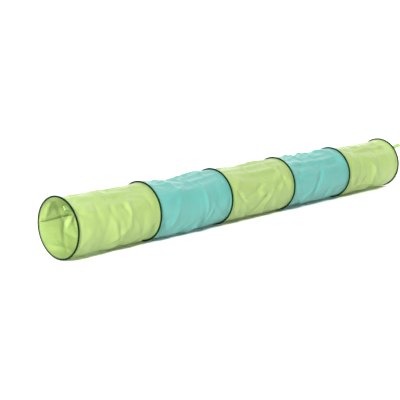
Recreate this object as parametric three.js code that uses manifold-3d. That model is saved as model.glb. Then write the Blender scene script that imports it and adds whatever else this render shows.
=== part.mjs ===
// Agility tunnel for rabbits and other small pets, in millimetres with +Z up.
//
// Five sections of thin nylon, lime and turquoise by turns, are sewn end to end between six hoops of
// spring steel. Each hoop is one turn of wire whose ends meet in a crimped sleeve. A dark binding tape is
// folded round the wire and round the turned-out edges of the fabric, and stands proud of the fabric as a
// rib. A ribbon loop is sewn to the first and the last hoop.
//
// The tunnel lies along X. The origin is on the floor, under the middle of the tunnel.

import * as THREE from "three";
import { mergeVertices } from "three/addons/utils/BufferGeometryUtils.js";
import Module from "manifold-3d";

const wasm = await Module();
wasm.setup();

// ---------------------------------------------------------------- driving dimensions

const hoopPitch = 340; // from one hoop to the next, with the fabric taut
const sectionColours = ["lime", "turquoise", "lime", "turquoise", "lime"];
const hoopRadius = 98; // of the wire's centreline
const wireRadius = 0.9;
const wireEndGap = 1; // between the two ends of the wire, inside the sleeve

const bindingHalfWidth = 2.5; // where the tape goes round the wire
const bindingLegOutside = 1.9; // where its two legs hold the fabric
const bindingLegInside = 1.3;
const bindingProud = 2.4; // above the wire's centreline
const bindingReach = 3.4; // the legs' length below the wire's centreline

const fabricThickness = 0.8;
const seamAllowance = 2.5; // the edge of the fabric that is turned out between the legs
const seamGap = 0.2; // from the fabric's edge to the hoop's middle plane
const roofSag = 4; // how far the fabric hangs below its hoops, half way between them
const floorSag = 10;
const sideSpread = 0.015; // the share by which the slack fabric is wider there

const sleeveLength = 16;
const sleeveBore = 1.15;
const sleeveOutside = 1.5;

const ribbonWidth = 15;
const ribbonThickness = 0.8;
const loopLength = 36;
const loopEye = 3; // inside height of the loop near its far end
const loopRootLength = 8; // the stretch next to the seam where the ribbon's two layers are sewn together
const loopAngle = 45; // degrees above the horizontal, on the -Y side
const loopFlare = 24; // degrees that the loop points outwards from the tunnel's direction
const loopOffset = 3.6; // from the hoop's middle plane to the fold that the loop turns on

const facets = 32; // flat faces round every hoop, one of which is at the bottom
const clearance = 0.3; // between pieces that touch

// ---------------------------------------------------------------- derived dimensions

const hoopCount = sectionColours.length + 1;
const halfFacet = Math.PI / facets;
const bindingTop = hoopRadius + bindingProud;
const bindingBottom = hoopRadius - bindingReach;
const centreHeight = bindingTop * Math.cos(halfFacet); // so that the lowest facets stand on the floor
const fabricOutside = bindingBottom - clearance;
const fabricInside = fabricOutside - fabricThickness;
const hoopX = (hoop) => (hoop - (hoopCount - 1) / 2) * hoopPitch;

// ---------------------------------------------------------------- materials

const materials = {
  lime: new THREE.MeshStandardMaterial({ color: 0xaed670, roughness: 0.75, metalness: 0 }),
  turquoise: new THREE.MeshStandardMaterial({ color: 0x6cc8be, roughness: 0.75, metalness: 0 }),
  tape: new THREE.MeshStandardMaterial({ color: 0x10301c, roughness: 0.85, metalness: 0 }),
  steel: new THREE.MeshStandardMaterial({ color: 0x9a9ea3, roughness: 0.35, metalness: 1 }),
  zinc: new THREE.MeshStandardMaterial({ color: 0xb9bcc0, roughness: 0.45, metalness: 1 }),
};

// ---------------------------------------------------------------- helpers

// A closed outline of [along, radius] points, counter-clockwise, turned round the tunnel's centreline.
function revolve(outline) {
  const closed = [...outline, outline[0]].reverse();
  const points = closed.map(([along, radius]) => new THREE.Vector2(radius, along));
  const turned = new THREE.LatheGeometry(points, facets, halfFacet);
  turned.rotateZ(-Math.PI / 2); // the lathe turns round Y, and the tunnel lies along X
  return turned.translate(0, 0, centreHeight);
}

// The geometry as a manifold-3d solid. Only the positions are kept, so that shared corners merge.
function solid(geometry) {
  const bare = new THREE.BufferGeometry();
  bare.setAttribute("position", geometry.toNonIndexed().getAttribute("position"));
  const merged = mergeVertices(bare, 1e-3);
  const mesh = new wasm.Mesh({
    numProp: 3,
    vertProperties: merged.attributes.position.array,
    triVerts: new Uint32Array(merged.index.array),
  });
  return new wasm.Manifold(mesh);
}

function subtract(geometry, tool) {
  const mesh = solid(geometry).subtract(solid(tool)).getMesh();
  const cut = new THREE.BufferGeometry();
  cut.setAttribute("position", new THREE.BufferAttribute(mesh.vertProperties, 3));
  cut.setIndex(new THREE.BufferAttribute(mesh.triVerts, 1));
  cut.computeVertexNormals();
  return cut;
}

function named(name, geometry, material) {
  const mesh = new THREE.Mesh(geometry, materials[material]);
  mesh.name = name;
  return mesh;
}

// ---------------------------------------------------------------- hoops

// One turn of wire, cut at the bottom, where its two ends meet.
function hoopWire() {
  const corners = Array.from({ length: 6 }, (_, i) => (i * Math.PI) / 3);
  const section = corners.map((a) => [
    wireRadius * Math.cos(a),
    hoopRadius + wireRadius * Math.sin(a),
  ]);
  const gap = new THREE.BoxGeometry(4 * wireRadius, wireEndGap, 6 * wireRadius);
  const bottom = centreHeight - hoopRadius;
  return subtract(revolve(section), gap.translate(0, 0, bottom));
}

// The sleeve is straight, because the wire is straight across the lowest facet.
function crimpSleeve() {
  const ring = new THREE.Shape().absarc(0, 0, sleeveOutside, 0, 2 * Math.PI);
  ring.holes.push(new THREE.Path().absarc(0, 0, sleeveBore, 0, 2 * Math.PI, true));
  const settings = { depth: sleeveLength, bevelEnabled: false, curveSegments: 8 };
  const sleeve = new THREE.ExtrudeGeometry(ring, settings);
  sleeve.translate(0, 0, -sleeveLength / 2).rotateX(Math.PI / 2);
  return sleeve.translate(0, 0, centreHeight - hoopRadius * Math.cos(halfFacet));
}

// The tape's section is an arch over the wire with two legs that point at the tunnel's centreline.
function bindingTape() {
  const tape = bindingLegOutside - bindingLegInside;
  const outside = [
    [bindingLegOutside, bindingBottom],
    [bindingHalfWidth, hoopRadius - 0.6],
    [bindingLegOutside, bindingTop - 0.7],
    [0.8, bindingTop],
  ];
  const inside = [
    [1.2, bindingTop - tape],
    [bindingHalfWidth - tape, hoopRadius - 0.4],
    [bindingLegInside, bindingBottom],
  ];
  const mirrored = (points) => points.map(([along, radius]) => [-along, radius]).reverse();
  return revolve([...outside, ...mirrored(outside), ...mirrored(inside), ...inside]);
}

// ---------------------------------------------------------------- fabric

// Lets the fabric hang between its hoops and lie flat where it meets the floor.
function slacken(geometry) {
  const position = geometry.getAttribute("position");
  const middleRadius = (fabricOutside + fabricInside) / 2;
  for (let i = 0; i < position.count; i += 1) {
    const y = position.getY(i);
    const rise = position.getZ(i) - centreHeight;
    const fromMiddle = (2 * position.getX(i)) / hoopPitch - 1;
    const slack = 1 - fromMiddle * fromMiddle;
    const share = (1 - rise / middleRadius) / 2; // 0 at the roof, 1 at the floor
    const sag = roofSag + (floorSag - roofSag) * share;
    const outside = Math.hypot(y, rise) > middleRadius;
    const floor = outside ? 0 : fabricThickness;
    position.setY(i, y * (1 + sideSpread * slack));
    position.setZ(i, Math.max(floor, centreHeight + rise - sag * slack));
  }
  geometry.computeVertexNormals();
  return geometry;
}

// A tube from one hoop to the next. Its ends are turned out, into the legs of the two bindings.
function fabricSection() {
  const start = seamGap;
  const end = hoopPitch - seamGap;
  const edge = fabricOutside + seamAllowance - fabricThickness;
  const spans = 6;
  const stations = Array.from({ length: spans + 1 }, (_, i) => i / spans);
  const skin = (radius, from, to) => stations.map((t) => [from + t * (to - from), radius]);
  const inside = skin(fabricInside, start, end);
  const outside = skin(fabricOutside, end - fabricThickness, start + fabricThickness);
  const outline = [
    [start, edge],
    ...inside,
    [end, edge],
    [end - fabricThickness, edge],
    ...outside,
    [start + fabricThickness, edge],
  ];
  return slacken(revolve(outline));
}

// ---------------------------------------------------------------- ribbon loops

// The loop's side view, with its root at the origin and its far end at +X.
function loopOutline(halfRoot, halfEye, from, to) {
  const bend = to - halfEye; // centre of the round far end
  const outline = new THREE.Shape();
  outline.moveTo(from, -halfRoot);
  outline.lineTo(loopRootLength, -halfRoot);
  outline.quadraticCurveTo(loopRootLength + 6, -halfEye, bend, -halfEye);
  outline.absarc(bend, 0, halfEye, -Math.PI / 2, Math.PI / 2);
  outline.quadraticCurveTo(loopRootLength + 6, halfEye, loopRootLength, halfRoot);
  outline.lineTo(from, halfRoot);
  return outline;
}

function ribbonLoop() {
  const halfEye = loopEye / 2;
  const outline = loopOutline(ribbonThickness, halfEye + ribbonThickness, 0, loopLength);
  const far = loopLength - ribbonThickness;
  const eye = loopOutline(0.1, halfEye, loopRootLength - 1, far);
  outline.holes.push(eye);
  const settings = { depth: ribbonWidth, bevelEnabled: false, curveSegments: 5 };
  return new THREE.ExtrudeGeometry(outline, settings).translate(0, 0, -ribbonWidth / 2);
}

// A loop at the hoop, pointing the way of `way`, which is -1 or +1 along X.
function placedLoop(name, hoop, way) {
  const up = (loopAngle * Math.PI) / 180;
  const flare = (loopFlare * Math.PI) / 180;
  const outwards = new THREE.Vector3(0, -Math.cos(up), Math.sin(up));
  const along = new THREE.Vector3(way, 0, 0);
  const length = along.clone().multiplyScalar(Math.cos(flare));
  length.addScaledVector(outwards, Math.sin(flare));
  const across = along.clone().cross(outwards);
  const height = across.clone().cross(length);
  const loop = named(name, ribbonLoop(), "lime");
  loop.quaternion.setFromRotationMatrix(new THREE.Matrix4().makeBasis(length, height, across));
  loop.position.set(hoopX(hoop) + way * loopOffset, 0, centreHeight);
  loop.position.addScaledVector(outwards, fabricOutside + clearance);
  return loop;
}

// ---------------------------------------------------------------- assembly

const tunnel = new THREE.Group();

for (let hoop = 0; hoop < hoopCount; hoop += 1) {
  const station = new THREE.Group();
  station.position.x = hoopX(hoop);
  station.add(named(`hoop_wire_${hoop + 1}`, hoopWire(), "steel"));
  station.add(named(`crimp_sleeve_${hoop + 1}`, crimpSleeve(), "zinc"));
  station.add(named(`hoop_binding_${hoop + 1}`, bindingTape(), "tape"));
  tunnel.add(station);
}

sectionColours.forEach((colour, i) => {
  const section = named(`fabric_section_${i + 1}`, fabricSection(), colour);
  section.position.x = hoopX(i);
  tunnel.add(section);
});

tunnel.add(placedLoop("front_ribbon_loop", 0, -1));
tunnel.add(placedLoop("rear_ribbon_loop", hoopCount - 1, 1));

export default tunnel;
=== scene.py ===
# %% [markdown]
# # An agility tunnel of nylon and spring wire
#
# The real tunnel is five short tubes of thin nylon, sewn end to end. Six hoops of spring wire hold it open.
# A dark tape is folded round each wire and round the fabric's turned-out edges, and two rows of stitches
# close it. The tubes fold flat between their hoops, so the whole tunnel stores as a disc.
#
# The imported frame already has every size, joint and body. This lesson keeps its steel parts, and makes the
# soft parts again with the shape and the surface that cloth has: creases, sag, stitches and light that
# shines through.

# %% Load the frame and keep its box
import math

import bmesh
import bpy
import numpy as np
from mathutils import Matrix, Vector, noise


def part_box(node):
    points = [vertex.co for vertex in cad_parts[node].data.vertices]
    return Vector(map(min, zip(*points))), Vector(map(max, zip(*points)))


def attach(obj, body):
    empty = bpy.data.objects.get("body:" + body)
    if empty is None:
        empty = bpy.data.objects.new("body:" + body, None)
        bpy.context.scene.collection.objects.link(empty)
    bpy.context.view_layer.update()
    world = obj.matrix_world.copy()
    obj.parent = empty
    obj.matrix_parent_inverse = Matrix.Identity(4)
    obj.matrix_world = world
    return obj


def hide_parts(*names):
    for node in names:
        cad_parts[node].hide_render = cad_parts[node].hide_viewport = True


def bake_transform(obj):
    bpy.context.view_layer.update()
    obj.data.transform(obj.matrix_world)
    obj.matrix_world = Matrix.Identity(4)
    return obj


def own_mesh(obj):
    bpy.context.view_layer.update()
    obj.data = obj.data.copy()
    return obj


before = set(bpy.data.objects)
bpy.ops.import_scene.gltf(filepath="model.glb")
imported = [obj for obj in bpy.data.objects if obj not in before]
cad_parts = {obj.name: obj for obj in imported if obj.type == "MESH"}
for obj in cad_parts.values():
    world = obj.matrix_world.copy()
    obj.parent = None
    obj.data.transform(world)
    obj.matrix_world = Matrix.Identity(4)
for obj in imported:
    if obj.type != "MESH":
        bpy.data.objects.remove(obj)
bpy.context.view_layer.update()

# %% [markdown]
# ## Where the hoops stand
#
# Everything hangs on the six hoops, so their places are read from the frame once. A point on a hoop is given
# by its angle, its distance from the hoop's centre and how far it lies along the tunnel from the hoop's
# plane. Angle 0 points to +Y and a quarter turn points up.

# %% Hoop centres, radii and a point on a hoop
MM = 0.001
HOOP_COUNT = sum(name.startswith("hoop_binding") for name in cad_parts)
SECTION_COUNT = HOOP_COUNT - 1
HOOP_BODIES = ["front_hoop", "hoop_2", "hoop_3", "hoop_4", "hoop_5", "rear_hoop"]

binding_boxes = [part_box(f"hoop_binding_{i + 1}") for i in range(HOOP_COUNT)]
hoop_centres = [(low + high) / 2 for low, high in binding_boxes]
PITCH = hoop_centres[1].x - hoop_centres[0].x
WIRE_RADIUS_OF_HOOP = 98 * MM
TAPE_BOTTOM = 94.6 * MM
FABRIC_RADIUS = 94.0 * MM


def on_hoop(hoop, angle, radius, along):
    centre = hoop_centres[hoop]
    out = Vector((0, math.cos(angle), math.sin(angle)))
    return centre + out * radius + Vector((along, 0, 0))


print(f"{HOOP_COUNT} hoops, {PITCH / MM:.0f} mm apart, centres {hoop_centres[0].z / MM:.1f} mm high")

# %% [markdown]
# ## The camera
#
# The camera looks along the tunnel from its front left, from a little above, with a long lens. It comes
# first because every later choice of detail depends on what it sees. The view is shifted sideways instead
# of turned, so that the hoops keep their proportions.

# %% A long lens from the front left
AZIMUTH = math.radians(-48.3)
ELEVATION = math.radians(10.6)
DISTANCE = 3.85
LENS = 95.6
SHIFT = (-0.111, -0.026)  # sideways and down, as a share of the view's width

back = Vector(
    (
        math.sin(AZIMUTH) * math.cos(ELEVATION),
        -math.cos(AZIMUTH) * math.cos(ELEVATION),
        math.sin(ELEVATION),
    )
)
camera = bpy.data.objects.new("camera", bpy.data.cameras.new("camera"))
camera.data.lens = LENS
camera.data.shift_x, camera.data.shift_y = SHIFT
camera.location = Vector((0, 0, hoop_centres[0].z)) + back * DISTANCE
camera.rotation_mode = "QUATERNION"
camera.rotation_quaternion = back.to_track_quat("Z", "Y")
bpy.context.scene.collection.objects.link(camera)
bpy.context.scene.camera = camera
print(f"camera {DISTANCE} m away with a {LENS} mm lens")

# %% [markdown]
# ## Colours and nodes
#
# Colours are written as the hex values that a designer would quote, and Blender works with linear light, so
# one function converts them. One more function adds a shader node. Its inputs are numbers, or the output of
# a node made before.

# %% Two small helpers for materials
def linear(hex_colour):
    channels = [int(hex_colour[i : i + 2], 16) / 255 for i in (1, 3, 5)]
    return [c / 12.92 if c <= 0.04045 else ((c + 0.055) / 1.055) ** 2.4 for c in channels] + [1.0]


def add(material, kind, settings=(), inputs=()):
    node = material.node_tree.nodes.new("ShaderNode" + kind)
    for name, value in dict(settings).items():
        setattr(node, name, value)
    for name, value in dict(inputs).items():
        if isinstance(value, bpy.types.NodeSocket):
            material.node_tree.links.new(value, node.inputs[name])
        else:
            node.inputs[name].default_value = value
    return node


def new_material(name):
    material = bpy.data.materials.new(name)
    material.use_nodes = True
    material.node_tree.nodes.clear()
    return material


def finish_material(material, shader):
    add(material, "OutputMaterial", inputs={"Surface": shader.outputs[0]})
    print("material:", material.name)
    return material


# %% [markdown]
# ## Nylon taffeta
#
# The tubes are nylon taffeta: a plain weave of shiny filament yarn, dyed, then calendered smooth. Seen close
# it is a fine grid. Seen from a step away it is satin, with faint streaks where the yarn is a little
# thicker, and a cool bloom where it turns away. It is thin enough for light to come through, so the inside
# of the tunnel glows.
#
# A Principled shader gives the woven face, and a Translucent shader gives the light that comes through,
# which is a quarter of the whole. The yarn is about 0.12 mm, which no view of the whole tunnel can show, so
# the grid is drawn at 1.5 mm. The cloth carries UV coordinates in metres, so both threads run true.

# %% The weave's real sizes
WEAVE = 1.5 * MM
WAVE_PERIOD = 0.314  # in metres, of a wave texture whose scale is 1
STREAK_LENGTH = 110 * MM
STREAK_SQUEEZE = 12  # the streaks are round grains of noise, squeezed this much across
SHINES_THROUGH = 0.25  # the share of the light
print(f"grid {WEAVE / MM:.1f} mm, streaks {STREAK_LENGTH / STREAK_SQUEEZE / MM:.0f} mm wide")


# %% Woven nylon taffeta
def woven_nylon(name, face, glow, streak_side):
    material = new_material(name)
    uv = add(material, "UVMap", {"uv_map": "cloth"})
    grid = []
    for direction in ("X", "Y"):
        threads = add(
            material,
            "TexWave",
            {"wave_type": "BANDS", "bands_direction": direction, "wave_profile": "SIN"},
            {"Vector": uv.outputs["UV"], "Scale": WAVE_PERIOD / WEAVE, "Distortion": 0.0},
        )
        grid.append(threads.outputs["Fac"])
    weave = add(material, "Math", {"operation": "MULTIPLY"}, {0: grid[0], 1: grid[1]})

    stretched = add(
        material,
        "Mapping",
        inputs={
            "Vector": uv.outputs["UV"],
            "Scale": (1, STREAK_SQUEEZE, 1),
            "Location": (streak_side, 0, 0),
        },
    )
    streaks = add(
        material,
        "TexNoise",
        inputs={"Vector": stretched.outputs["Vector"], "Scale": 1 / STREAK_LENGTH, "Detail": 3.0},
    )
    shade = add(
        material,
        "MapRange",
        inputs={
            "Value": streaks.outputs["Fac"],
            "From Min": 0.3,
            "From Max": 0.7,
            "To Min": 0.975,
            "To Max": 1.02,
        },
    )
    colours = []
    for hex_colour in (face, glow):
        tint = add(
            material,
            "Mix",
            {"data_type": "RGBA", "blend_type": "MULTIPLY"},
            {0: 1.0, 6: linear(hex_colour), 7: shade.outputs["Result"]},
        )
        colours.append(tint.outputs[2])

    roughness = add(
        material,
        "MapRange",
        inputs={"Value": weave.outputs["Value"], "To Min": 0.46, "To Max": 0.36},
    )
    bump = add(
        material,
        "Bump",
        inputs={"Height": weave.outputs["Value"], "Strength": 0.12, "Distance": 0.15 * MM},
    )
    face_shader = add(
        material,
        "BsdfPrincipled",
        inputs={
            "Base Color": colours[0],
            "Roughness": roughness.outputs["Result"],
            "IOR": 1.53,
            "Sheen Weight": 0.15,
            "Sheen Roughness": 0.4,
            "Normal": bump.outputs["Normal"],
        },
    )
    glow_shader = add(
        material,
        "BsdfTranslucent",
        inputs={"Color": colours[1], "Normal": bump.outputs["Normal"]},
    )
    cloth = add(
        material,
        "MixShader",
        inputs={0: SHINES_THROUGH, 1: face_shader.outputs[0], 2: glow_shader.outputs[0]},
    )
    return finish_material(material, cloth)


nylon = {
    "lime": woven_nylon("woven_nylon_taffeta_lime", "#96ac64", "#b2cc7f", 0.0),
    "turquoise": woven_nylon("woven_nylon_taffeta_turquoise", "#5ca199", "#79bfb7", 0.7),
}

# %% [markdown]
# ## Binding tape, ribbon and thread
#
# The ribs are polyester bias tape in a green that is nearly black. It is woven like the fabric, but of spun
# yarn, so it is matte, with a soft bloom at its edge. The ribbon loops are grosgrain, a ribbon with ribs
# across it. The ribs are modelled, so the material only adds the yarn. The thread is polyester too, with a
# slight lustre from its twist.

# %% Matte woven polyester
def woven_polyester(name, dark, light, grain, roughness, sheen, shine):
    material = new_material(name)
    place = add(material, "TexCoord")
    fibres = add(
        material,
        "TexNoise",
        inputs={"Vector": place.outputs["Object"], "Scale": 1 / grain, "Detail": 4.0, "Roughness": 0.6},
    )
    colour = add(
        material,
        "Mix",
        {"data_type": "RGBA"},
        {0: fibres.outputs["Fac"], 6: linear(dark), 7: linear(light)},
    )
    bump = add(
        material,
        "Bump",
        inputs={"Height": fibres.outputs["Fac"], "Strength": 0.35, "Distance": 0.2 * MM},
    )
    shader = add(
        material,
        "BsdfPrincipled",
        inputs={
            "Base Color": colour.outputs[2],
            "Roughness": roughness,
            "IOR": 1.54,
            "Specular IOR Level": shine,
            "Sheen Weight": sheen,
            "Sheen Roughness": 0.5,
            "Normal": bump.outputs["Normal"],
        },
    )
    return finish_material(material, shader)


TAPE = woven_polyester("polyester_bias_tape", "#010802", "#063013", 2.2 * MM, 0.85, 0.0, 0.06)
RIBBON = woven_polyester("grosgrain_ribbon", "#6f9042", "#94b866", 3.0 * MM, 0.75, 0.05, 0.3)
THREAD = woven_polyester("polyester_thread", "#1d4428", "#3f7048", 1.0 * MM, 0.5, 0.1, 0.4)

# %% [markdown]
# ## Spring steel and zinc
#
# The hoops are hard-drawn spring wire. The die leaves fine scratches along it, so it shines more across the
# wire than along it. Each sleeve is mild steel with a zinc plating, which is paler and a little cloudy. Both
# are sewn in and never seen in use, but they are there when the tunnel is opened for repair.

# %% Drawn wire and plated sleeve
def bare_metal(name, dark, light, grain, smooth, rough):
    material = new_material(name)
    place = add(material, "TexCoord")
    marks = add(
        material,
        "TexNoise",
        inputs={"Vector": place.outputs["Object"], "Scale": 1 / grain, "Detail": 5.0},
    )
    colour = add(
        material,
        "Mix",
        {"data_type": "RGBA"},
        {0: marks.outputs["Fac"], 6: linear(dark), 7: linear(light)},
    )
    roughness = add(
        material,
        "MapRange",
        inputs={"Value": marks.outputs["Fac"], "To Min": smooth, "To Max": rough},
    )
    bump = add(
        material,
        "Bump",
        inputs={"Height": marks.outputs["Fac"], "Strength": 0.2, "Distance": 0.05 * MM},
    )
    shader = add(
        material,
        "BsdfPrincipled",
        inputs={
            "Base Color": colour.outputs[2],
            "Metallic": 1.0,
            "Roughness": roughness.outputs["Result"],
            "Normal": bump.outputs["Normal"],
        },
    )
    return finish_material(material, shader)


SPRING_STEEL = bare_metal("drawn_spring_steel", "#84888e", "#b3b6ba", 1.5 * MM, 0.25, 0.45)
ZINC = bare_metal("zinc_plated_sleeve", "#a9adb2", "#cdd0d3", 0.8 * MM, 0.35, 0.55)

for name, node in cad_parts.items():
    metal = {"hoop_wire": SPRING_STEEL, "crimp_sleeve": ZINC}.get(name.rpartition("_")[0])
    if metal:
        node.data.materials.clear()
        node.data.materials.append(metal)

# %% [markdown]
# ## Meshes from rows of points
#
# Cloth, tape and ribbon are all surfaces swept from rows of points, so one function turns a grid of points
# into an object. It can join the last point of each row to the first, and the last row to the first.

# %% A mesh from a grid of points
def grid_object(name, points, material, close_rows=False, close_ends=False, uv=None):
    rows, columns = points.shape[:2]
    across = np.arange(columns if close_rows else columns - 1)
    down = np.arange(rows if close_ends else rows - 1)
    faces = [
        (
            i * columns + j,
            i * columns + (j + 1) % columns,
            (i + 1) % rows * columns + (j + 1) % columns,
            (i + 1) % rows * columns + j,
        )
        for i in down
        for j in across
    ]
    mesh = bpy.data.meshes.new(name)
    mesh.from_pydata(points.reshape(-1, 3).tolist(), [], faces)
    if uv is not None:
        layer = mesh.uv_layers.new(name="cloth")
        corners = [
            uv[i + di, j + dj]
            for i in down
            for j in across
            for di, dj in ((0, 0), (0, 1), (1, 1), (1, 0))
        ]
        layer.data.foreach_set("uv", np.array(corners, np.float32).ravel())
    mesh.shade_smooth()
    mesh.materials.append(material)
    piece = bpy.data.objects.new(name, mesh)
    bpy.context.scene.collection.objects.link(piece)
    return piece


def close_cut_ends(mesh, rows, sides):
    """Closes the two open ends of a swept band or ribbon."""
    body = bmesh.new()
    body.from_mesh(mesh)
    body.verts.ensure_lookup_table()
    body.faces.new([body.verts[side] for side in reversed(range(sides))])
    body.faces.new([body.verts[(rows - 1) * sides + side] for side in range(sides)])
    bmesh.ops.recalc_face_normals(body, faces=body.faces)
    body.to_mesh(mesh)
    body.free()


# %% [markdown]
# ## The fabric tubes
#
# Each tube is cut a little larger than the cylinder between its hoops. The spare width gathers into the tape
# as small puckers, and the spare length lets the roof dip between the hoops. The hoops of a tunnel that was
# thrown open on the floor are also turned a few degrees against each other.

# %% The taut tube and its larger cut
AROUND = 144
ALONG = 54
FIRST_ROW = 3.0 * MM  # from the hoop's plane to where the fabric comes out of the tape
SPARE_WIDTH = [0.050, 0.046, 0.048, 0.050, 0.052]
SPARE_LENGTH = [0.001, 0.006, 0.002, 0.003, 0.004]
TURNED = [math.radians(degrees) for degrees in (3.0, -3.5, 2.5, 3.5, -3.0)]

ANGLES = np.linspace(0, 2 * math.pi, AROUND, endpoint=False)
SHARES = np.linspace(0, 1, ALONG + 1)


def tube_points(section, scale_width, scale_length, turn, rise):
    near, far = hoop_centres[section].x + FIRST_ROW, hoop_centres[section + 1].x - FIRST_ROW
    middle, half = (near + far) / 2, (far - near) / 2 * scale_length
    turned = ANGLES[None, :] + turn * SHARES[:, None]
    radius = FABRIC_RADIUS * scale_width + rise
    return np.stack(
        [
            np.broadcast_to(middle + half * (2 * SHARES[:, None] - 1), turned.shape),
            radius * np.cos(turned),
            hoop_centres[section].z + radius * np.sin(turned),
        ],
        axis=2,
    )


print(f"tubes of {AROUND} by {ALONG} patches, each {FABRIC_RADIUS * 2 * math.pi / AROUND / MM:.1f} mm wide")

# %% [markdown]
# Nylon remembers how it was packed. A tunnel that was stored as a flat disc keeps the soft creases of that
# disc: most of them run round the tube or aslant, and a few cross. Each crease is a short ridge or valley.
# Where the gathered edge comes out of the tape, the spare width stands in small puckers, which fade within a
# few centimetres. Broad shallow waves lie under both, with a dent where a roof was pressed in.
#
# A displacement texture would do for waves, but not for creases, which have a start, an end and a direction.
# So each is worked out as how far it lifts every point of the tube, and the lifts are added up.

# %% Two helpers for lifting the fabric
HELD_WITHIN = 16 * MM  # from the tape


def round_distance(angle):
    """The distance round the tube from each column to an angle."""
    return ((ANGLES - angle + math.pi) % (2 * math.pi) - math.pi) * FABRIC_RADIUS


def held_at_tape(rise):
    """Nothing can stand out where the tape holds the fabric."""
    return rise * np.minimum(1, np.minimum(SHARES, 1 - SHARES) * PITCH / HELD_WITHIN)[:, None]


print(f"the fabric is free from {HELD_WITHIN / MM:.0f} mm on")

# %% Packing creases, and puckers at the tapes
FIRST_SEED = 17  # each tube has its own seed, so its creases are the same every time
CREASES = 72
CREASE_DEPTH = 7.5 * MM
CREASE_LEAN = 0.65  # in radians, the spread of the creases' directions about straight round the tube
CREASE_LENGTHS_MM = (25, 75)
CREASE_WIDTHS_MM = (5, 12)
PUCKERS = 34
PUCKER_DEPTH = 1.3 * MM
PUCKER_REACHES_MM = (12, 45)
PUCKER_WIDTHS_MM = (4, 8)


def packed_creases(section):
    random = np.random.default_rng(FIRST_SEED + section)
    along = SHARES[:, None] * PITCH
    rise = np.zeros((ALONG + 1, AROUND))
    for _ in range(CREASES):
        around = round_distance(random.uniform(0, 2 * math.pi))[None, :]
        ahead = along - random.uniform(0, PITCH)
        lean = random.normal(0, CREASE_LEAN)
        length = random.uniform(*CREASE_LENGTHS_MM) * MM
        width = random.uniform(*CREASE_WIDTHS_MM) * MM
        down_it = (around * math.cos(lean) + ahead * math.sin(lean)) / length
        across_it = (ahead * math.cos(lean) - around * math.sin(lean)) / width
        ridge = np.exp(-np.abs(across_it) ** 1.4) * np.exp(-down_it**4)
        rise += random.uniform(-1, 1) * CREASE_DEPTH * ridge
    for end in (0, 1):
        from_tape = np.abs(SHARES - end)[:, None] * PITCH
        for _ in range(PUCKERS):
            around = round_distance(random.uniform(0, 2 * math.pi))[None, :]
            reach = random.uniform(*PUCKER_REACHES_MM) * MM
            width = random.uniform(*PUCKER_WIDTHS_MM) * MM
            pucker = np.exp(-((around / width) ** 2)) * np.exp(-from_tape / reach)
            rise += random.uniform(-1, 1) * PUCKER_DEPTH * pucker
    return held_at_tape(rise)


creases = [packed_creases(section) for section in range(SECTION_COUNT)]
print("deepest creases:", ", ".join(f"{-rise.min() / MM:.1f} mm" for rise in creases))

# %% Broad waves, and a dent in each roof
WAVE_DEPTH = 4.0 * MM
WAVE_LENGTH = 75 * MM
WAVE_STEP = 9.7  # in wave lengths, so that no two tubes have the same waves
FULLNESS = 2.0 * MM  # how far the slack fabric stands out half way between its hoops
DENTS = [  # section, place along it, angle, size and depth of each dent
    (0, 0.75, 80, 60 * MM, 3 * MM),
    (1, 0.42, 88, 52 * MM, 9 * MM),
    (2, 0.30, 100, 60 * MM, 5 * MM),
    (3, 0.35, 95, 45 * MM, 5 * MM),
    (4, 0.30, 85, 60 * MM, 6 * MM),
]


def broad_waves(section):
    along = SHARES[:, None] * PITCH
    rise = np.zeros((ALONG + 1, AROUND))
    for row, share in enumerate(SHARES):
        for column, angle in enumerate(ANGLES):
            y, z = math.cos(angle) * FABRIC_RADIUS, math.sin(angle) * FABRIC_RADIUS
            at = Vector((y, z, share * PITCH)) / WAVE_LENGTH
            rise[row, column] += WAVE_DEPTH * noise.noise(at + Vector((0, 0, WAVE_STEP * section)))
    for dented, place, degrees, size, depth in DENTS:
        if dented == section:
            around = round_distance(math.radians(degrees))[None, :]
            ahead = along - place * PITCH
            rise -= depth * np.exp(-(around**2 + ahead**2) / size**2)
    rise += FULLNESS * (1 - (2 * SHARES[:, None] - 1) ** 6)
    return held_at_tape(rise)


waves = [broad_waves(section) for section in range(SECTION_COUNT)]
print("highest waves:", ", ".join(f"{rise.max() / MM:.1f} mm" for rise in waves))

# %% [markdown]
# A cloth simulation lets each tube settle as the real cloth does. It starts between its two hoops, its rest
# shape is the larger cut, and both end rows are pinned where the tape holds them. It falls onto a floor. The
# threads are stiff, because taffeta hardly stretches, and the weight is small beside them.

# %% One tube's fall
FALL_FRAMES = 18
SOLVER_STEPS = 6
POINT_MASS = 0.1  # kilograms at each point of the mesh
WEIGHT = 0.25  # of gravity, because the simulated points are heavier than the nylon is
YARN_STIFFNESS = 120
SHEAR_STIFFNESS = 40
BENDING_STIFFNESS = 6.0
AIR_DAMPING = 3.0
CONTACT = 1.0 * MM


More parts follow.
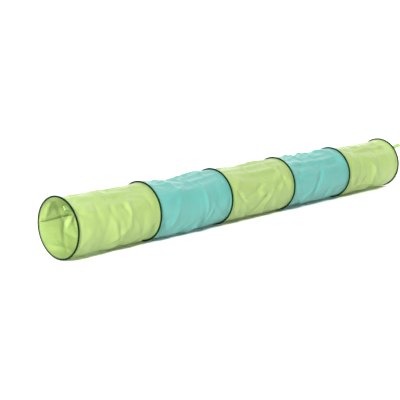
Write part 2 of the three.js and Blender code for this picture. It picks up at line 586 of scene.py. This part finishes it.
def fallen(section):
    rise = waves[section]
    taut = tube_points(section, 1, 1, TURNED[section], rise)
    cut = tube_points(section, 1 + SPARE_WIDTH[section], 1 + SPARE_LENGTH[section], 0, rise)
    cloth = grid_object(f"falling_{section}", taut, nylon["lime"], close_rows=True)
    cloth.shape_key_add(name="taut")
    rest = cloth.shape_key_add(name="cut")
    rest.data.foreach_set("co", cut.astype(np.float32).ravel())
    ends = cloth.vertex_groups.new(name="held")
    last = ALONG * AROUND
    ends.add(list(range(AROUND)) + list(range(last, last + AROUND)), 1.0, "REPLACE")

    modifier = cloth.modifiers.new("cloth", "CLOTH")
    settings = modifier.settings
    settings.vertex_group_mass = ends.name
    settings.rest_shape_key = rest
    settings.quality = SOLVER_STEPS
    settings.mass = POINT_MASS
    settings.tension_stiffness = settings.compression_stiffness = YARN_STIFFNESS
    settings.shear_stiffness = SHEAR_STIFFNESS
    settings.bending_stiffness = BENDING_STIFFNESS
    settings.air_damping = AIR_DAMPING
    settings.effector_weights.gravity = WEIGHT
    modifier.collision_settings.distance_min = CONTACT
    modifier.collision_settings.use_self_collision = False
    for step in range(1, FALL_FRAMES + 1):
        bpy.context.scene.frame_set(step)
    result = cloth.evaluated_get(bpy.context.evaluated_depsgraph_get()).to_mesh()
    points = np.empty(len(result.vertices) * 3, np.float32)
    result.vertices.foreach_get("co", points)
    bpy.data.objects.remove(cloth)
    bpy.context.scene.frame_set(1)
    return points.reshape(ALONG + 1, AROUND, 3).astype(float)


print(f"{FALL_FRAMES} frames for each fall")

# %% [markdown]
# A simulation of this size irons the sharp creases out, so they are laid onto the settled cloth, straight
# away from the tunnel's middle line. A folded section has to fit in between its two ribs, which stand only
# 6 mm proud, so close to them the fabric is eased down below their crowns.

# %% Room to fold in between the ribs
FREE_RADIUS = 96.0 * MM
ROOM_BELOW_CROWN = 3.9 * MM
NEAR_RIB = 0.30  # the share of the tube at each end that is kept low
NEAR_RIB_FADE = 0.06


def below_the_crowns(distance):
    """The fabric's distance from the middle line, eased down near the ribs."""
    near = np.clip((NEAR_RIB - np.minimum(SHARES, 1 - SHARES)) / NEAR_RIB_FADE, 0, 1)[:, None]
    over = np.maximum(0, distance - FREE_RADIUS)
    eased = distance - over + ROOM_BELOW_CROWN * np.tanh(over / ROOM_BELOW_CROWN)
    return distance + near * (eased - distance)


print(f"near the ribs the fabric stays within {(FREE_RADIUS + ROOM_BELOW_CROWN) / MM:.1f} mm")

# %% Let every tube settle, and crease it
CATCHER_X = (-1.2, 1.2)
CATCHER_Y = (0.4, -0.4)  # this way round its face looks up, and only that side stops cloth

catcher = grid_object(
    "catcher",
    np.array([[[x, y, 0.0] for y in CATCHER_Y] for x in CATCHER_X]),
    nylon["lime"],
)
catcher.modifiers.new("catch", "COLLISION")
catcher.collision.thickness_outer = CONTACT
tubes = []
for section in range(SECTION_COUNT):
    settled = fallen(section)
    away = settled - np.array(hoop_centres[section])
    away[:, :, 0] = 0
    distance = np.linalg.norm(away, axis=2)
    creased = below_the_crowns(distance + creases[section])
    tubes.append(settled + away * (creased / distance - 1)[:, :, None])
bpy.data.objects.remove(catcher)
for section, points in enumerate(tubes):
    roof, belly = points[:, :, 2].max(axis=1).min(), points[:, :, 2].min()
    print(f"tube {section + 1}: lowest roof {roof / MM:.0f} mm, belly {belly / MM:.1f} mm")

# %% [markdown]
# Two rows at each end turn out into the tape, where the stitches hold them. Each tube is one rectangle of
# nylon, so it has one lengthwise seam, half way up at the back.

# %% The cut, and the ends that turn out
TURNED_OUT = [(0.6 * MM, 96.6 * MM), (0.9 * MM, 95.2 * MM)]  # along, radius
INTO_EACH_TAPE = 4 * MM
CUT_WIDTH = 2 * math.pi * FABRIC_RADIUS
CUT_LENGTH = PITCH + 2 * INTO_EACH_TAPE


def end_rows(hoop, side, turn):
    return [
        np.array([on_hoop(hoop, angle, radius, side * along) for angle in ANGLES + turn])
        for along, radius in TURNED_OUT
    ]


def fabric_uv(rows):
    uv = np.empty((rows, AROUND + 1, 2))
    uv[:, :, 0] = np.linspace(0, CUT_WIDTH, AROUND + 1)[None, :]
    uv[:, :, 1] = np.linspace(0, CUT_LENGTH, rows)[:, None]
    return uv


print(f"each tube is cut {CUT_WIDTH / MM:.0f} by {CUT_LENGTH / MM:.0f} mm, before the spare cloth")

# %% [markdown]
# When a section folds, its fabric is squeezed flat between its two hoops. The fabric, its seam and the
# seam's stitches all go with the section's front hoop, so one function hangs each of them from that hoop
# and gives it a mesh of its own.

# %% Hang a piece from its section's front hoop
def fold_down(piece, section):
    """Hangs the piece from its section's front hoop and gives it a mesh of its own."""
    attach(piece, HOOP_BODIES[section])
    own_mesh(piece)


# %% Make the five tubes
FABRIC_THICKNESS = 0.25 * MM
COLOURS = ["lime" if section % 2 == 0 else "turquoise" for section in range(SECTION_COUNT)]

fabrics = []
for section, points in enumerate(tubes):
    start = end_rows(section, 1, 0)
    end = end_rows(section + 1, -1, TURNED[section])
    points[:, :, 2] = np.maximum(points[:, :, 2], FABRIC_THICKNESS)
    rows = np.array([*start, *points, *reversed(end)])
    cloth = grid_object(
        f"fabric_tube_{section + 1}",
        rows,
        nylon[COLOURS[section]],
        close_rows=True,
        uv=fabric_uv(len(rows)),
    )
    smooth = cloth.modifiers.new("smooth", "SUBSURF")
    smooth.levels = smooth.render_levels = 1
    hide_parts(f"fabric_section_{section + 1}")
    fabrics.append(cloth)
print(f"{len(fabrics)} fabric tubes, each with {len(fabrics[0].data.vertices)} points")

# %% [markdown]
# ## The bound ribs
#
# Bias tape folded round a wire isn't a perfect ring. Its crown is round over the wire, its two legs lie flat
# on the fabric, and it waves a little between the stitches. Where the tape ends it is folded under and
# overlaps its own start, which makes a short thicker stretch near the floor.

# %% The tape's section
TAPE_STEPS = 288

# Every place on the tape is in mm along the tunnel and outwards, from the wire's middle.
TAPE_LEG = [(1.35, -3.4), (1.75, -3.45), (2.05, -3.1), (2.0, -1.9)]
TAPE_SHOULDER = [(2.3, -0.8), (2.45, 0.2), (2.2, 1.25), (1.3, 2.1)]
TAPE_INSIDE = [(0.9, 1.45), (1.55, 0.7), (1.75, -0.3), (1.45, -1.6)]
TAPE_CROWN = 2.38
TAPE_CROWN_INSIDE = 1.75
HIGHEST_CROWN = 2.4
TAPE_WAVE = 0.12  # in mm, how far the tape wanders between its stitches
WAVES_ROUND = 18
JOIN_ANGLE = math.radians(-118)
JOIN_HALF_LENGTH = 9 * MM
JOIN_THICKER = 0.1
JOIN_EDGE = 0.5 * MM


def tape_outline():
    """The tape's closed section, from its inside edge at the front over the crown to the back."""
    crown = [(0.0, TAPE_CROWN)]
    hollow = [(0.0, TAPE_CROWN_INSIDE)]
    rear = TAPE_LEG + TAPE_SHOULDER
    front = [(-along, out) for along, out in rear]
    front_inside = [(-along, out) for along, out in TAPE_INSIDE]
    return front + crown + rear[::-1] + TAPE_INSIDE[::-1] + hollow + front_inside


print(f"the tape's section has {len(tape_outline())} corners")

# %% Tape folded round every wire
def tape_rows(hoop):
    rows = []
    for step in range(TAPE_STEPS):
        angle = 2 * math.pi * step / TAPE_STEPS
        arc = abs((angle - JOIN_ANGLE + math.pi) % (2 * math.pi) - math.pi) * WIRE_RADIUS_OF_HOOP
        overlap = 1 + JOIN_THICKER / (1 + math.exp((arc - JOIN_HALF_LENGTH) / JOIN_EDGE))
        across = (math.cos(angle) * WAVES_ROUND, math.sin(angle) * WAVES_ROUND)
        row = []
        for along, out in tape_outline():
            wave = TAPE_WAVE * noise.noise(Vector((*across, hoop * 5 + along * 0.2)))
            spread = along * overlap + wave * (1 if out < 2 else 0.4)
            height = min(out * overlap if out > 0 else out, HIGHEST_CROWN)
            point = on_hoop(hoop, angle, WIRE_RADIUS_OF_HOOP + height * MM, spread * MM)
            point.z = max(point.z, 0)
            row.append(point)
        rows.append(row)
    return np.array(rows)


for hoop in range(HOOP_COUNT):
    tape = grid_object(
        f"bound_rib_{hoop + 1}", tape_rows(hoop), TAPE, close_rows=True, close_ends=True
    )
    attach(tape, HOOP_BODIES[hoop])
    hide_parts(f"hoop_binding_{hoop + 1}")

# %% [markdown]
# ## Stitches
#
# A lockstitch shows as a row of short grains of thread, each dipping into the cloth at both ends. One stitch
# is a small round body of thread. A row is many copies of it in one mesh, because they are never
# handled alone.

# %% A row of stitches along a list of points
THREAD_RADIUS = 0.28 * MM
STITCH_SIDES = 6
STITCH_STATIONS = [(-0.5, 0.35), (-0.32, 0.9), (0.0, 1.1), (0.32, 0.9), (0.5, 0.35)]  # along, thickness
STITCH_RISE = 0.6  # in thread radii, at the middle of a stitch
STITCH_DIP = 4.5


def stitch_row(name, places, material):
    """places holds a centre, a direction with the stitch's length, and the way out of the cloth."""
    points, faces = [], []
    for centre, along, out in places:
        side = along.cross(out).normalized()
        base = len(points)
        for share, thickness in STITCH_STATIONS:
            lift = out * THREAD_RADIUS * (STITCH_RISE - STITCH_DIP * share * share)
            for corner in range(STITCH_SIDES):
                turn = 2 * math.pi * corner / STITCH_SIDES
                ring = (side * math.cos(turn) + out * math.sin(turn)) * THREAD_RADIUS * thickness
                points.append(centre + along * share + lift + ring)
        for station in range(len(STITCH_STATIONS) - 1):
            for corner in range(STITCH_SIDES):
                here = base + station * STITCH_SIDES + corner
                after = base + station * STITCH_SIDES + (corner + 1) % STITCH_SIDES
                faces.append((here, here + STITCH_SIDES, after + STITCH_SIDES, after))
        end = base + (len(STITCH_STATIONS) - 1) * STITCH_SIDES
        faces.append(tuple(base + corner for corner in range(STITCH_SIDES)))
        faces.append(tuple(end + corner for corner in reversed(range(STITCH_SIDES))))
    mesh = bpy.data.meshes.new(name)
    mesh.from_pydata(points, [], faces)
    mesh.shade_smooth()
    mesh.materials.append(material)
    piece = bpy.data.objects.new(name, mesh)
    bpy.context.scene.collection.objects.link(piece)
    return piece


print(f"a stitch has {len(STITCH_STATIONS) * STITCH_SIDES} points")

# %% Two rows of stitches round every hoop
STITCH_PITCH = 3.6 * MM
STITCH_LENGTH = 2.7 * MM
STITCH_RADIUS = 95.9 * MM
LEG_FACE = 2.05 * MM  # from the hoop's plane to the outside of the tape's leg


def round_hoop(hoop):
    count = round(2 * math.pi * STITCH_RADIUS / STITCH_PITCH)
    places = []
    for side in (-1, 1):
        for stitch in range(count):
            angle = 2 * math.pi * (stitch + 0.25 * (side + 1)) / count
            tangent = Vector((0, -math.sin(angle), math.cos(angle)))
            centre = on_hoop(hoop, angle, STITCH_RADIUS, side * LEG_FACE)
            places.append((centre, tangent * STITCH_LENGTH, Vector((side, 0, 0))))
    return places


for hoop in range(HOOP_COUNT):
    stitches = stitch_row(f"rib_stitches_{hoop + 1}", round_hoop(hoop), THREAD)
    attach(stitches, HOOP_BODIES[hoop])
print(f"{len(round_hoop(0))} stitches round each hoop")

# %% [markdown]
# ## The lengthwise seams
#
# Where a tube's two edges meet they are lapped and sewn twice, which makes a narrow raised band along the
# tube. The band follows the settled cloth, and so do its two rows of stitches.

# %% A place on the settled cloth
SEAM_ANGLE = math.radians(5)


def on_cloth(points, row, away_from_seam, lift):
    """A point over the cloth, given by its row and its distance round the tube from the seam."""
    column = (SEAM_ANGLE + away_from_seam / FABRIC_RADIUS) / (2 * math.pi) * AROUND
    low = math.floor(column)
    share = column - low
    here = points[row, low % AROUND] * (1 - share) + points[row, (low + 1) % AROUND] * share
    centre = hoop_centres[0]
    out = np.array([0, here[1], here[2] - centre.z])
    return here + out / np.linalg.norm(out) * lift


print(f"the seams run {math.degrees(SEAM_ANGLE):.0f} degrees above the middle, at the back")

# %% The raised band
SEAM_WIDTH = 10 * MM
SEAM_RISE = 0.7 * MM
SEAM_EDGE = 0.4 * MM
SEAM_SUNK = 0.2 * MM


def seam_band(section, points):
    half = SEAM_WIDTH / 2
    top = [(-half, SEAM_EDGE), (-0.8 * half, SEAM_RISE), (0.0, SEAM_RISE), (0.8 * half, SEAM_RISE)]
    outline = [(-half, -SEAM_SUNK), *top, (half, SEAM_EDGE), (half, -SEAM_SUNK), (0.0, -SEAM_SUNK)]
    rows = [
        [on_cloth(points, row, around, lift) for around, lift in outline] for row in range(ALONG + 1)
    ]
    uv = np.zeros((ALONG + 1, len(outline) + 1, 2))
    uv[:, :, 0] = np.linspace(0, 2 * SEAM_WIDTH, len(outline) + 1)[None, :]
    uv[:, :, 1] = np.linspace(0, CUT_LENGTH, ALONG + 1)[:, None]
    band = grid_object(
        f"lapped_seam_{section + 1}", np.array(rows), nylon[COLOURS[section]], close_rows=True, uv=uv
    )
    close_cut_ends(band.data, ALONG + 1, len(outline))
    return band


print(f"a band {SEAM_WIDTH / MM:.0f} mm wide and {SEAM_RISE / MM:.1f} mm high")

# %% Two rows of stitches along a seam
SEAM_STITCH_PITCH = 4.0 * MM
SEAM_STITCH_SIDES = (-0.55, 0.55)  # of half the seam's width


def seam_stitches(section, points):
    places = []
    for side in SEAM_STITCH_SIDES:
        around = side * SEAM_WIDTH / 2
        lines = np.array([on_cloth(points, row, around, SEAM_RISE) for row in range(ALONG + 1)])
        travel = np.concatenate([[0], np.cumsum(np.linalg.norm(np.diff(lines, axis=0), axis=1))])
        for place in np.arange(SEAM_STITCH_PITCH, travel[-1] - SEAM_STITCH_PITCH, SEAM_STITCH_PITCH):
            ends = [
                Vector([np.interp(place + shift, travel, lines[:, axis]) for axis in range(3)])
                for shift in (-STITCH_LENGTH / 2, STITCH_LENGTH / 2)
            ]
            centre = (ends[0] + ends[1]) / 2
            out = Vector((0, centre.y, centre.z - hoop_centres[0].z)).normalized()
            places.append((centre, ends[1] - ends[0], out))
    return stitch_row(f"seam_stitches_{section + 1}", places, THREAD)


for section, points in enumerate(tubes):
    band = seam_band(section, points)
    fold_down(band, section)
    stitches = seam_stitches(section, points)
    fold_down(stitches, section)
print(f"{SECTION_COUNT} seams, {SEAM_WIDTH / MM:.0f} mm wide")

# %% [markdown]
# The tubes come last. Each is cut with its spare cloth, and is hung from the hoop at its front, like
# its seam.

for section, cloth in enumerate(fabrics):
    fold_down(cloth, section)
    print(f"{cloth.name}: {SPARE_WIDTH[section]:.1%} spare round it, {SPARE_LENGTH[section]:.1%} along it")

# %% [markdown]
# ## The ribbon loops
#
# A loop of grosgrain ribbon is sewn into the first and the last rib, to hang the tunnel up or peg it down.
# The ribbon goes out, turns over its own end and comes back. Its ribs are modelled as small waves across it.

# %% The ribbon's way out and back
RIBBON_WIDTH = 15 * MM
RIBBON_THICKNESS = 0.7 * MM
LOOP_LENGTH = 36 * MM
LOOP_ROOT = 8 * MM
LOOP_OPENS_OVER = 12 * MM  # from the sewn root to where the loop is as high as its eye
LOOP_EYE = 3 * MM
INTO_TAPE = 2.4 * MM
LAYERS_APART = 0.55  # in thicknesses, from the middle of each layer to the line between them


def loop_path(count=132):
    """The ribbon's middle line seen from its edge: distance from the root, and height."""
    bend = LOOP_EYE / 2 + RIBBON_THICKNESS / 2
    straight = LOOP_LENGTH - bend - RIBBON_THICKNESS / 2
    close = RIBBON_THICKNESS * LAYERS_APART
    out = []
    for step in range(count // 2):
        far = -INTO_TAPE + (straight + INTO_TAPE) * step / (count // 2 - 1)
        open_share = min(1, max(0, (far - LOOP_ROOT) / LOOP_OPENS_OVER))
        eased = open_share * open_share * (3 - 2 * open_share)
        out.append((far, -close - (bend - close) * eased))
    round_end = [
        (straight + bend * math.cos(turn), bend * math.sin(turn))
        for turn in np.linspace(-math.pi / 2, math.pi / 2, 15)[1:-1]
    ]
    back_again = [(far, -height) for far, height in reversed(out)]
    return out + round_end + back_again


print(f"a path of {len(loop_path())} points")

# %% One ribbon along that path
ACROSS_RIBBON = [-1.0, -0.9, 0.0, 0.9, 1.0]  # of half its width; it thins at both edges
RIBBON_SIDES = [(1, share) for share in ACROSS_RIBBON] + [(-1, share) for share in ACROSS_RIBBON[::-1]]
EDGE_THINNING = 0.35
GROSGRAIN = 1.3 * MM
GROSGRAIN_HEIGHT = 0.16 * MM
RIBBON_TWIST = 0.5 * MM
LOOP_UP = math.radians(45)
LOOP_FLARE = math.radians(24)
LOOP_OFFSET = 3.6 * MM  # from the hoop's plane to the fold that the loop turns on


def ribbon(name, hoop, way):
    outwards = Vector((0, -math.cos(LOOP_UP), math.sin(LOOP_UP)))
    length = Vector((way * math.cos(LOOP_FLARE), 0, 0)) + outwards * math.sin(LOOP_FLARE)
    across = Vector((way, 0, 0)).cross(outwards)
    height = across.cross(length)
    root = hoop_centres[hoop] + Vector((way * LOOP_OFFSET, 0, 0)) + outwards * TAPE_BOTTOM
    path = loop_path()
    travelled = 0.0
    rows = []
    for i, (far, rise) in enumerate(path):
        before, after = path[max(i - 1, 0)], path[min(i + 1, len(path) - 1)]
        tangent = Vector((after[0] - before[0], after[1] - before[1], 0)).normalized()
        normal = Vector((-tangent.y, tangent.x, 0))
        travelled += math.dist(path[i], before) if i else 0
        rib = GROSGRAIN_HEIGHT * math.cos(2 * math.pi * travelled / GROSGRAIN)
        half = RIBBON_THICKNESS / 2 + rib
        twist = RIBBON_TWIST * math.sin(far / LOOP_LENGTH * 2.4)
        row = []
        for side, share in RIBBON_SIDES:
            thin = EDGE_THINNING if abs(share) == 1.0 else 1.0
            edge = Vector((far, rise, 0)) + normal * side * half * thin
            edge.y += twist * share
            row.append(
                root + length * edge.x + height * edge.y + across * share * RIBBON_WIDTH / 2
            )
        rows.append(row)
    piece = grid_object(
        name.replace("ribbon_loop", "grosgrain_loop"), np.array(rows), RIBBON, close_rows=True
    )
    close_cut_ends(piece.data, len(path), len(RIBBON_SIDES))
    print(f"{piece.name}: {travelled / MM:.0f} mm of ribbon")
    return piece, root, length


for name, hoop, way in (("front_ribbon_loop", 0, -1), ("rear_ribbon_loop", HOOP_COUNT - 1, 1)):
    loop, root, length = ribbon(name, hoop, way)
    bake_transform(loop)
    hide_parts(name)

# %% [markdown]
# ## Floor and light
#
# The tunnel is shown on a pale floor in front of a light wall, a tall white panel that glows evenly. A world
# bright enough to make the background white would wash the creases out, and the wall leaves the front of the
# tunnel to the lights.

# %% A pale floor
FLOOR_EDGES = (-14.0, 14.0)
BELOW_TUNNEL = 0.2 * MM


def flat_colour(name, hex_colour, glow):
    material = new_material(name)
    paper = add(
        material,
        "BsdfPrincipled",
        inputs={
            "Base Color": linear(hex_colour),
            "Roughness": 0.9,
            "Specular IOR Level": 0.2,
            "Emission Color": linear(hex_colour),
            "Emission Strength": glow,
        },
    )
    return finish_material(material, paper)


floor = grid_object(
    "studio_floor",
    np.array([[[x, y, -BELOW_TUNNEL] for y in FLOOR_EDGES] for x in FLOOR_EDGES]),
    flat_colour("matt_white_paper", "#fcfcfb", 0.0),
)
print(f"floor {FLOOR_EDGES[1] - FLOOR_EDGES[0]:.0f} m wide")

# %% A light wall
WALL_DISTANCE = 6.0  # far enough back to walk round the tunnel in front of it
WALL_WIDTH = 22.0
WALL_HEIGHT = 7.0
WALL_GLOW = 1.05

sight = Vector((-back.x, -back.y, 0)).normalized()
sideways = Vector((-sight.y, sight.x, 0))
wall_feet = [sight * WALL_DISTANCE + sideways * side * WALL_WIDTH / 2 for side in (-1, 1)]
wall = grid_object(
    "light_wall",
    np.array([[foot + Vector((0, 0, z)) for z in (0, WALL_HEIGHT)] for foot in wall_feet]),
    flat_colour("glowing_white_panel", "#ffffff", WALL_GLOW),
)
print(f"light wall {WALL_WIDTH} m wide, {WALL_DISTANCE} m behind the tunnel")

# %% [markdown]
# A key light from the upper left rakes along the tubes and picks out the creases. It stands far away, so the
# near end gets little more of it than the far end. A broad light overhead keeps the floor pale, and a low one
# looks under the belly. The pale world fills in from every side, because part of what thin nylon shows has
# come through it.

# %% Soft studio lights
def soft_light(name, size, power, location, target):
    light = bpy.data.lights.new(name, "AREA")
    light.shape = "DISK"
    light.size = size
    light.energy = power
    lamp = bpy.data.objects.new(name, light)
    lamp.location = location
    lamp.rotation_euler = (Vector(location) - Vector(target)).to_track_quat("Z", "Y").to_euler()
    bpy.context.scene.collection.objects.link(lamp)
    print(f"{name}: {power} W, {size} m across")


soft_light("key_light", 1.3, 3500, (-11.6, -5.2, 5.9), (0, 0, 0.1))
soft_light("overhead_light", 4.0, 42, (1.2, -0.3, 3.0), (0.5, 0, 0))
soft_light("low_light", 1.2, 30, (-1.6, -3.0, 0.3), (0, 0, 0))

world = bpy.data.worlds.new("white_studio")
world.use_nodes = True
sky = world.node_tree.nodes["Background"]
sky.inputs["Color"].default_value = linear("#ffffff")
sky.inputs["Strength"].default_value = 0.28
bpy.context.scene.world = world
bpy.context.scene.view_settings.view_transform = "Standard"
print("world:", world.name)
